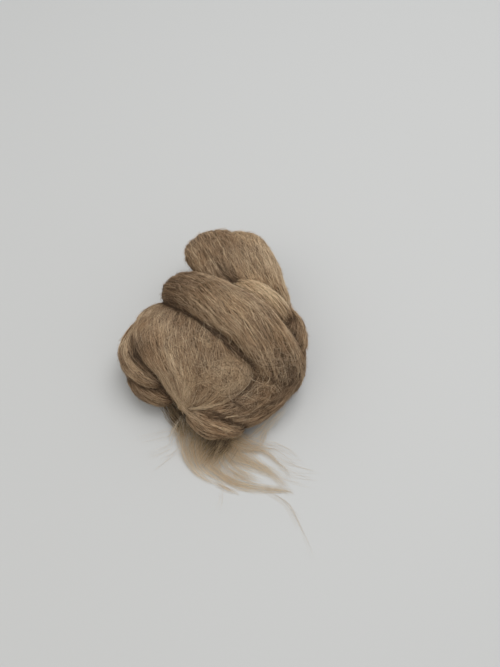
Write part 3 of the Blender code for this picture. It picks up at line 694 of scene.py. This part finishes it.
# on top of the nest: heights are above the wool below. The crease and shade strokes are painted shade along
# the creases.
usualStroke = dict(span=(0.8, 0.1), width=(0.12, 0.18))
strokes = dict(
    swirl=dict(count=90, span=(0.85, 0.1), tones=(0.76, 0.8), rows=[
        (-8.4, -30.9, 0.8, 1.4), (-3.3, -30.6, 1.1, 1.6), (1.3, -30.6, 1.2, 1.8), (7.5, -30.8, 1.2, 2),
        (13.2, -28.2, 1.2, 2.2), (16, -23.3, 1.2, 2.4), (12.4, -20.1, 1.1, 2.4), (5, -20.1, 1, 2.6),
        (-0.8, -22.5, 0.9, 2.8)]),
    ring=dict(count=56, tones=(0.76, 0.8), rows=[
        (-1, -28, 0.9, 1.8), (1, -25.6, 1, 1.6), (4.6, -23.5, 1.1, 1.8), (9.9, -22.5, 1.1, 1.8),
        (13.5, -25, 1.1, 1.5), (11.7, -28.5, 1.1, 1.8), (6.3, -30.1, 1.1, 1.6), (1.4, -29, 1, 1.8),
        (-3, -26, 0.9, 2)]),
    # painted shade: dark strands along the crease under the band
    bandCreaseShade=dict(count=150, exact=True, span=(0.75, 0.2), width=(0.14, 0.22), tones=(0, 0), rows=[
        (-24.1, 15.2, 28.2, 0.5), (-15.8, 9.5, 32.2, 0.6), (-5.4, 1.4, 35.8, 0.7), (2, -6.1, 36.9, 0.7),
        (8.9, -12.2, 35.6, 0.7), (15.7, -17.5, 33, 0.6), (21, -21.6, 30.6, 0.5)]),
    bandShade=dict(count=260, exact=True, width=(0.12, 0.2), tones=(0.22, 0.26), rows=[
        (-23.5, 14.4, 27.3, 1), (-16, 7.9, 31.3, 1.4), (-6.2, -0.3, 34.9, 1.7), (0.9, -7.6, 36.1, 1.8),
        (7.5, -13.6, 35, 1.7), (14.2, -18.6, 32.6, 1.4)]),
    cleftShade=dict(count=230, exact=True, span=(0.7, 0.3), width=(0.12, 0.2), tones=(0.05, 0), rows=[
        (-38.4, -1, 22, 0.5), (-37.6, -4.2, 22.4, 0.9), (-33.8, -11.2, 22.8, 1.4), (-28.6, -16, 22.6, 1.5),
        (-24.3, -19.6, 22.2, 1.1), (-20.5, -23.2, 20.6, 0.6)]),
    cleftJoin=dict(count=110, even=True, step=12, span=(0.5, 0.5), tones=(0.5, 0.5), rows=[
        (-24, 10, 0.7, 3.4), (-30, 5.5, 0.8, 3.4), (-35, 0, 0.8, 2.8), (-37.6, -6, 0.7, 2.2),
        (-36.4, -12.5, 0.6, 1.8)]),
    throughKnot=dict(count=64, span=(0.35, 0.6), tones=(0.85, 0.8), rows=[
        (-20, -25.5, 1, 2.2), (-16.4, -30, 1.2, 1.2), (-12.8, -34.4, 1.6, 0.6), (-9.4, -37.4, 1.4, 1.3),
        (-5, -40, 1.1, 2.4)]),
    armRight=dict(count=34, lit=True, step=12, span=(0.2, 0.3), tones=(0.95, 0.75), rows=[
        (-12.6, -34.3, 1.2, 0.2), (-9, -34.6, 2.4, 0.25), (-5, -35, 2.8, 0.3), (0.6, -34.9, 2.6, 0.4),
        (6.1, -33.6, 2, 0.7), (10.3, -31.8, 1.4, 1.2)]),
    armStray=dict(count=20, lit=True, step=12, span=(0.2, 0.5), tones=(1, 0.9), rows=[
        (-12.6, -34.3, 0.8, 0.2), (-9, -34.6, 1.8, 0.2), (-5, -34.8, 2, 0.2), (-1, -34.4, 2, 0.3),
        (2.5, -33.8, 1.8, 0.4)]),
    armUp=dict(count=34, span=(0.25, 0.3), tones=(0.95, 0.75), rows=[
        (-12.6, -34.3, 0.6, 0.3), (-14.4, -31.9, 1.2, 0.6), (-17.5, -28.6, 1.2, 1), (-20.2, -25, 1.1, 1.6),
        (-23, -21, 1, 2)]),
    armBack=dict(count=60, span=(0.25, 0.3), tones=(0.95, 0.7), rows=[
        (-12.6, -34.3, 0.6, 0.3), (-12.2, -32.1, 1.2, 0.9), (-10.9, -29.4, 1.2, 2), (-9, -25.5, 1.1, 3.4),
        (-8, -21, 0.9, 4.6)]),
    armDown=dict(count=70, even=True, span=(0.15, 0.25), width=(0.1, 0.16), tones=(0.68, 0.5), rows=[
        (-12.6, -34.3, 0.6, 0.3), (-10.2, -36, 1.3, 1.6), (-7, -38.2, 1.3, 2.8), (-2.2, -40.8, 1.1, 4),
        (4, -42.5, 0.9, 4.6)]),
    arcRight=dict(count=30, lit=True, span=(0.4, 0.5), width=(0.1, 0.15), tones=(0.66, 0.66), rows=[
        (14.5, -17, 0.9, 1), (17.6, -21.4, 0.9, 0.9), (17.4, -25.6, 1, 0.8), (13.6, -29.4, 1.1, 0.9),
        (8.8, -32.4, 1.2, 1), (3, -34.6, 1.2, 1), (-4, -35.2, 1.2, 0.7), (-12.6, -34.3, 0.8, 0.3)]),
    arcOver=dict(count=30, lit=True, span=(0.4, 0.5), width=(0.11, 0.17), tones=(0.8, 0.7), rows=[
        (-12.6, -34.3, 0.8, 0.3), (-11.6, -30.4, 1.1, 0.7), (-7.6, -27.4, 1.1, 0.9), (-2.4, -26.6, 1.1, 1),
        (3, -28, 1.1, 1.1), (8, -30.8, 1.1, 1.2)]),
    crescentRim=dict(count=80, span=(0.6, 0.3), tones=(0.78, 0.78), rows=[
        (-30, 15, 0.7, 2.2), (-36.5, 8.5, 0.7, 2), (-41, 0.5, 0.7, 1.6), (-42, -7, 0.7, 1.4),
        (-38.6, -14.5, 0.7, 1.3), (-33, -19.8, 0.7, 1.2), (-27.5, -22, 0.7, 1.2), (-22, -23, 0.7, 1.4)]),
    # painted shade: dark strands along the creases near the bottom front lobe
    creaseRightShade=dict(count=110, span=(0.75, 0.2), width=(0.1, 0.17), tones=(0.06, 0.03), rows=[
        (-4.6, -36, 1, 0.3), (0.7, -37.4, 1.2, 0.45), (4.5, -39.2, 1.2, 0.5), (9, -41.2, 1.2, 0.5),
        (13.5, -42.4, 1, 0.4)]),
    creaseUpShade=dict(count=90, span=(0.6, 0.4), width=(0.12, 0.2), tones=(0.05, 0.12), rows=[
        (9.6, -33.4, 1.1, 0.6), (13.5, -36.2, 1.1, 0.6), (17.1, -37.6, 1.1, 0.5)]),
)
wispStyle = dict(
    points=10, steps=80, shortest=0.2, lane=0.55, widest=1.4, sway=0.35, beat=(2, 9), stray=0.035,
    straight=0.3, flat=0.8, vary=0.13, step=5, even=False, exact=False, lit=False)


def drawWisp(name, wisp, seed, node):
    wisp = {**wispStyle, **wisp}
    draped = node == "nest"
    chance = np.random.default_rng(seed)
    rows = np.array(wisp["rows"], float)
    count, points = wisp["count"], wisp["points"]
    places, length = evenPlaces(rows, wisp["steps"])
    start = chance.uniform(0, wisp["span"][0], count)[:, None]
    end = np.maximum(chance.uniform(wisp["span"][1], 1, count)[:, None], start + wisp["shortest"])
    t = np.linspace(0, 1, points)[None]
    run = np.clip(start + (end - start) * t, 0, 1)
    even = np.linspace(0, 1, wisp["steps"])
    at, ahead, behind = (
        rowAt(rows, np.interp(np.clip(run.ravel() + to, 0, 1), even, places)) for to in (0, 0.01, -0.01))
    along = unit((ahead - behind)[:, :2])
    across = np.column_stack([-along[:, 1], along[:, 0]]).reshape(count, points, 2)
    at = at.reshape(count, points, 4)
    lane = np.clip(chance.normal(0, wisp["lane"], (count, 1)), -wisp["widest"], wisp["widest"])
    if wisp["even"]:
        lane = chance.uniform(-1, 1, (count, 1))
    phase, beat = chance.uniform(*anyPhase, (count, 1)), chance.uniform(*wisp["beat"], (count, 1))
    stray = chance.normal(0, wisp["stray"], (count, 1)) * (t - wisp["straight"]) * length
    sway = wisp["sway"] * np.sin(phase + beat * t) * chance.uniform(0.2, 1, (count, 1))
    side = lane * at[..., 3] + sway + stray
    paths = np.empty((count, points, 3))
    paths[..., :2] = at[..., :2] + across * side[..., None] - middle[:2]
    share = chance.uniform(0.15, 1, (count, 1))
    if wisp["exact"]:
        paths[..., 2] = at[..., 2] + 0.8 * (share - 0.5) - 0.4 * np.abs(2 * t - 1) ** 6
    elif draped:
        top = drapedHeight(paths[..., :2])
        paths[..., 2] = top + at[..., 2] * share - 0.5 * np.abs(2 * t - 1) ** 6
    else:
        paths[..., 2] = at[..., 2] * share + 0.1
    paths[..., 2] = np.maximum(paths[..., 2], tableTop + 0.1)
    root, tip = wisp["tones"]
    tone = chance.normal(0, wisp["vary"], (count, 1)) + root + (tip - root) * run
    # painted crease shade, except on lit strands
    if draped and root > 0.4 and not wisp["lit"]:
        tone = tone + paintedCreaseShade(clearOfOthers(paths))
    width = chance.uniform(*wisp["width"], count)
    if draped and not wisp["exact"]:
        stays = np.abs(np.diff(top, axis=1)).max(1) < wisp["step"]
        paths, width, tone = (found[stays] for found in (paths, width, tone))
    return addStrands(f"wisp_{name}", [strandMesh(paths, width, wisp["flat"], tone)], node)


# matted wool on the nest: short curls round a centre, within reach of it on two turned axes. They lie every
# way, or within spread of one way, in degrees.
mats = dict(
    front=dict(
        count=500, centre=(7, -25.5), reach=(15, 7), turn=-10, length=(4, 10), curl=0.16, tone=0.5,
        vary=0.34),
    frontPale=dict(
        count=110, centre=(7, -25.5), reach=(12, 6), turn=-10, length=(5, 12), curl=0.18, tone=0.76,
        lift=(0.7, 1.3)),
    frontHigh=dict(
        count=220, centre=(2, -12), reach=(26, 13), turn=-20, length=(5, 12), curl=0.06, tone=0.52, way=-62,
        spread=38, vary=0.3),
    bandEndDark=dict(
        count=480, centre=(30, -21), reach=(15, 7.5), turn=8, length=(4, 9), curl=0.16, tone=0.34, way=-50,
        spread=75, vary=0.32),
    bandEnd=dict(
        count=90, centre=(32, -26), reach=(8, 3.2), turn=10, length=(3, 7), curl=0.26, tone=0.78,
        lift=(0.5, 1.2), vary=0.3),
    lowerRight=dict(
        count=460, centre=(24, -32), reach=(18, 9), turn=34, length=(4, 10), curl=0.14, tone=0.32, way=32,
        spread=70, vary=0.3),
    lowerRightPale=dict(
        count=90, centre=(22, -33), reach=(16, 8), turn=30, length=(5, 11), curl=0.12, tone=0.6, way=32,
        spread=70),
    rightLobe=dict(count=110, centre=(39.5, 1), reach=(5, 9), turn=10, length=(3, 8), curl=0.14, tone=0.34),
    bandLeft=dict(
        count=150, centre=(-12, 14), reach=(9, 7), turn=-40, length=(4, 10), curl=0.05, tone=0.34, way=-45,
        spread=32),
    knot=dict(count=110, centre=(-13, -33.6), reach=(2.4, 2.4), length=(3, 7), curl=0.35, tone=0.85),
)
matStyle = dict(
    points=7, width=(0.12, 0.2), flat=0.9, lift=(0.3, 1), turn=0, way=0, spread=180, vary=0.22, sway=0.35,
    beat=6, lean=0.4, lowest=4, drop=2.5)


def drawMat(name, mat, seed):
    mat = {**matStyle, **mat}
    chance = np.random.default_rng(seed)
    count, points = mat["count"], mat["points"]
    spot = chance.normal(0, 0.5, (count, 2)) * mat["reach"]
    turn = math.radians(mat["turn"])
    x, y = mat["centre"]
    x = x + spot[:, 0] * math.cos(turn) - spot[:, 1] * math.sin(turn)
    y = y + spot[:, 0] * math.sin(turn) + spot[:, 1] * math.cos(turn)
    length = chance.uniform(*mat["length"], (count, 1))
    t = np.linspace(-0.5, 0.5, points)[None]
    bend = chance.normal(0, mat["curl"], (count, 1)) + mat["curl"] * mat["lean"]
    way, spread = math.radians(mat["way"]), math.radians(mat["spread"])
    sway = mat["sway"] * np.sin(chance.uniform(*anyPhase, (count, 1)) + mat["beat"] * t)
    heading = way + spread * chance.uniform(-1, 1, (count, 1)) + bend * length * t + sway
    step = length / (points - 1)
    paths = np.empty((count, points, 3))
    for axis, start, part in ((0, x, np.cos(heading)), (1, y, np.sin(heading))):
        run = np.cumsum(part * step, axis=1)
        paths[..., axis] = start[:, None] + run - run[:, [points // 2]] - middle[axis]
    lift = chance.uniform(*mat["lift"], (count, 1)) - 0.7 * np.abs(2 * t) ** 4
    top = drapedHeight(paths[..., :2])
    # without those that would fall over the edge
    stays = (top.min(1) > mat["lowest"]) & (np.abs(np.diff(top, axis=1)).max(1) < mat["drop"])
    paths[..., 2] = top + lift
    # painted crease shade, half of which goes into the tone
    shade = paintedCreaseShade(clearOfOthers(paths))
    stays &= shade.min(1) > (-1 if mat["tone"] < 0.4 else -0.35)  # pale curls stay out of the creases
    paths, shade = paths[stays], shade[stays]
    tone = mat["tone"] + chance.normal(0, mat["vary"], (len(paths), 1)) + 0.5 * shade
    width = chance.uniform(*mat["width"], len(paths))
    return addStrands(f"mat_{name}", [strandMesh(paths, width, mat["flat"], tone)], "nest")


for group, usual, seed, node in (
        (wisps, usualWisp, 300, "loose_end"), (roots, usualRoot, 400, "loose_end"),
        (strokes, usualStroke, 500, "nest")):
    for i, (name, wisp) in enumerate(group.items()):
        pieces.append(drawWisp(name, {**usual, **wisp}, seed + i, node))
pieces += [drawMat(name, mat, 600 + i) for i, (name, mat) in enumerate(mats.items())]
print("with loose fibre:", len(pieces), "pieces")


# stage: plain pale table, soft studio light, and a camera at the photograph's angle
stage = dict(table="#C4C4C2", roughness=0.6, size=3, sky="#F1F3F5", skyStrength=0.66)
view = dict(sensor_width=36, lens=36 * 501 / 667, clip_start=0.005)
eye, aim = (Vector(np.array(place) - middle) * mm for place in ((18, -127.604, 230.059), (18, 4.876, 18.047)))
lights = dict(  # place and aim in m
    window=dict(place=(0.34, 0.34, 1.18), energy=8.2, size=0.9, colour="#FCFDFF"),
    room=dict(place=(-0.5, -0.35, 0.9), energy=1.3, size=0.8, colour="#FFF3E0"))
lightAim = Vector((0, 0, 0.02))


def addToScene(name, data, place, aim):
    thing = bpy.data.objects.new(name, data)
    bpy.context.scene.collection.objects.link(thing)
    thing.location = place
    thing.rotation_mode = "QUATERNION"
    thing.rotation_quaternion = (aim - place).to_track_quat("-Z", "Y")
    return thing


bpy.ops.object.select_all(action="DESELECT")
bpy.ops.mesh.primitive_plane_add(size=stage["size"], location=(0, 0, 0))
table = bpy.context.object
table.name = "table"
paint = bpy.data.materials.new("matt white laminate")
paint.use_nodes = True
laminate = paint.node_tree.nodes["Principled BSDF"].inputs
laminate["Base Color"].default_value = linear(stage["table"])
laminate["Roughness"].default_value = stage["roughness"]
table.data.materials.append(paint)
table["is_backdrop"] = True

for name, lamp in lights.items():
    light = bpy.data.lights.new(name, "AREA")
    light.energy, light.size, light.color = lamp["energy"], lamp["size"], linear(lamp["colour"])[:3]
    addToScene(name, light, Vector(lamp["place"]), lightAim)
world = bpy.data.worlds.new("room light")
world.use_nodes = True
sky = world.node_tree.nodes["Background"].inputs
sky["Color"].default_value = linear(stage["sky"])
sky["Strength"].default_value = stage["skyStrength"]
bpy.context.scene.world = world
bpy.context.scene.view_settings.view_transform = "Standard"

camera = addToScene("camera", bpy.data.cameras.new("camera"), eye, aim)
for setting, value in view.items():
    setattr(camera.data, setting, value)
bpy.context.scene.camera = camera
print("stage: table,", len(lights), "lights and the camera")

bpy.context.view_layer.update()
added = [p.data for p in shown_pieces() if p.type == "MESH" and p.name not in nodes]
print("triangles:", sum(len(mesh.loops) - 2 * len(mesh.polygons) for mesh in added))
